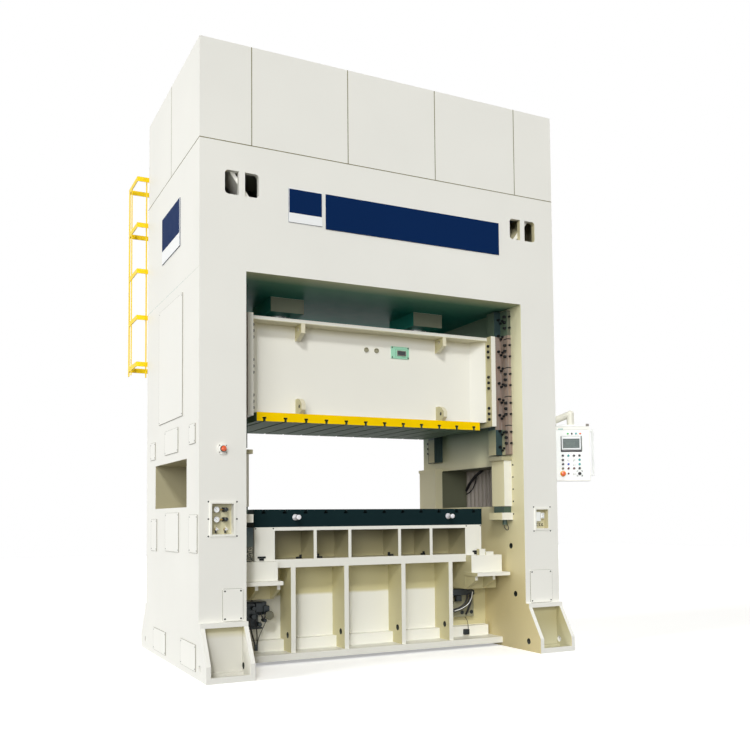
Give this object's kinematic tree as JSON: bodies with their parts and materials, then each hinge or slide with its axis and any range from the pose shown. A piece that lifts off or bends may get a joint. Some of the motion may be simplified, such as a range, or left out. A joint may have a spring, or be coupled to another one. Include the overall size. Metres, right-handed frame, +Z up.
{
  "type": "straight-side servo press",
  "caption": "Straight-side servo press with boxed uprights, guided slide, T-slotted bolster, parapet on the crown, rear ladder and a control panel on a swing arm.",
  "frame": {"origin": "on the floor, in the middle between the four feet", "axes": "+X to the right along the front, +Y from the front to the rear, +Z up"},
  "size_m": [5.1262, 3.35, 6.63],
  "materials": {
    "machine_paint": "semi-gloss",
    "bolster_steel": "satin",
    "machined_steel": "machined",
    "bright_steel": "satin",
    "bronze": "machined",
    "navy_plate": "semi-gloss",
    "black_paint": "satin",
    "black_plastic": "matt",
    "screen": "gloss",
    "red_plastic": "gloss",
    "safety_yellow": "semi-gloss"
  },
  "bodies": {
    "press_frame": {"crown": "machine_paint", "left_upright": "machine_paint", "right_upright": "machine_paint", "bed": "machine_paint", "bed_riser": "machine_paint", "bolster": "bolster_steel", "bolster_pegs": "bright_steel", "parapet_front": "machine_paint", "parapet_rear": "machine_paint", "parapet_left": "machine_paint", "parapet_right": "machine_paint", "parapet_posts": "machine_paint", "side_covers": "machine_paint", "front_covers": "machine_paint", "name_plates": "navy_plate", "window_shutter": "bright_steel", "gib_blocks": "machine_paint", "gib_bars": "machined_steel", "gib_liners": "bronze", "gib_bolts": "bright_steel", "guard_front_left": "machine_paint", "guard_front_right": "machine_paint", "guard_rear_left": "machine_paint", "guard_rear_right": "machine_paint", "die_bracket_left": "machine_paint", "die_bracket_right": "machine_paint", "valve_unit": "black_paint", "lube_unit": "bright_steel", "air_panel": "machine_paint", "air_gauges": "black_paint", "junction_panel": "machine_paint", "stop_plate": "machine_paint", "ladder": "safety_yellow", "ladder_cage": "safety_yellow", "motor_left": "black_paint", "motor_right": "black_paint", "bearing_blocks": "machine_paint", "balance_cylinders": "bright_steel", "air_tank": "machine_paint", "arm_bracket": "machine_paint"},
    "slide_body": {"slide": "machine_paint", "slide_plate": "machined_steel", "slide_bolts": "bright_steel", "stroke_counter": "machine_paint", "screw_left": "machined_steel", "screw_right": "machined_steel", "balance_rods": "machined_steel"},
    "left_nut": {"nut_left": "machined_steel"},
    "right_nut": {"nut_right": "machined_steel"},
    "left_rotor": {"rotor_left": "machined_steel"},
    "right_rotor": {"rotor_right": "machined_steel"},
    "arm": {"swing_arm": "machine_paint"},
    "panel": {"control_panel": "machine_paint", "panel_screen": "screen", "panel_keys": "black_plastic"},
    "panel_stop_button": {"panel_stop": "red_plastic"},
    "panel_selector_knob": {"panel_selector": "black_plastic"},
    "column_stop_button": {"column_stop": "red_plastic"},
    "upper_knob": {"regulator_knob_upper": "black_plastic"},
    "lower_knob": {"regulator_knob_lower": "black_plastic"}
  },
  "joints": [
    {"name": "slide_stroke", "type": "slide", "parent": "press_frame", "child": "slide_body", "axis": [0, 0, 1], "range_m": [-0.3, 0]},
    {"name": "left_nut_turn", "type": "hinge", "parent": "press_frame", "child": "left_nut", "pos_m": [-0.952, 0, 4.85], "axis": [0, 0, 1], "range_deg": [-901, 1]},
    {"name": "right_nut_turn", "type": "hinge", "parent": "press_frame", "child": "right_nut", "pos_m": [0.952, 0, 4.85], "axis": [0, 0, 1], "range_deg": [-1, 901]},
    {"name": "left_rotor_turn", "type": "hinge", "parent": "press_frame", "child": "left_rotor", "pos_m": [-1.352, 0, 4.85], "axis": [0, 0, 1], "range_deg": [-1, 2701]},
    {"name": "right_rotor_turn", "type": "hinge", "parent": "press_frame", "child": "right_rotor", "pos_m": [1.352, 0, 4.85], "axis": [0, 0, 1], "range_deg": [-2701, 1]},
    {"name": "arm_swing", "type": "hinge", "parent": "press_frame", "child": "arm", "pos_m": [2.32, -1, 2.79], "axis": [0, 0, 1], "range_deg": [0, 70]},
    {"name": "panel_swivel", "type": "hinge", "parent": "arm", "child": "panel", "pos_m": [2.497, -1.2, 2.75], "axis": [0, 0, 1], "range_deg": [-60, 60]},
    {"name": "panel_stop_push", "type": "slide", "parent": "panel", "child": "panel_stop_button", "axis": [0.4478, 0.8942, 0], "range_m": [0, 0.006]},
    {"name": "panel_selector_turn", "type": "hinge", "parent": "panel", "child": "panel_selector_knob", "pos_m": [2.55419, -1.28456, 2.136], "axis": [0.4478, 0.8942, 0], "range_deg": [-60, 60]},
    {"name": "column_stop_push", "type": "slide", "parent": "press_frame", "child": "column_stop_button", "axis": [0, 1, 0], "range_m": [0, 0.006]},
    {"name": "upper_knob_turn", "type": "hinge", "parent": "press_frame", "child": "upper_knob", "pos_m": [-1.962, -1.2, 1.705], "axis": [0, -1, 0], "range_deg": [0, 1440]},
    {"name": "lower_knob_turn", "type": "hinge", "parent": "press_frame", "child": "lower_knob", "pos_m": [-1.962, -1.2, 1.604], "axis": [0, -1, 0], "range_deg": [0, 1440]}
  ],
  "couplings": [
    {"joint": "left_nut_turn", "follows": "slide_stroke", "rad_per_m": 52.36},
    {"joint": "right_nut_turn", "follows": "slide_stroke", "rad_per_m": -52.36},
    {"joint": "left_rotor_turn", "follows": "slide_stroke", "rad_per_m": -157.08},
    {"joint": "right_rotor_turn", "follows": "slide_stroke", "rad_per_m": 157.08}
  ]
}
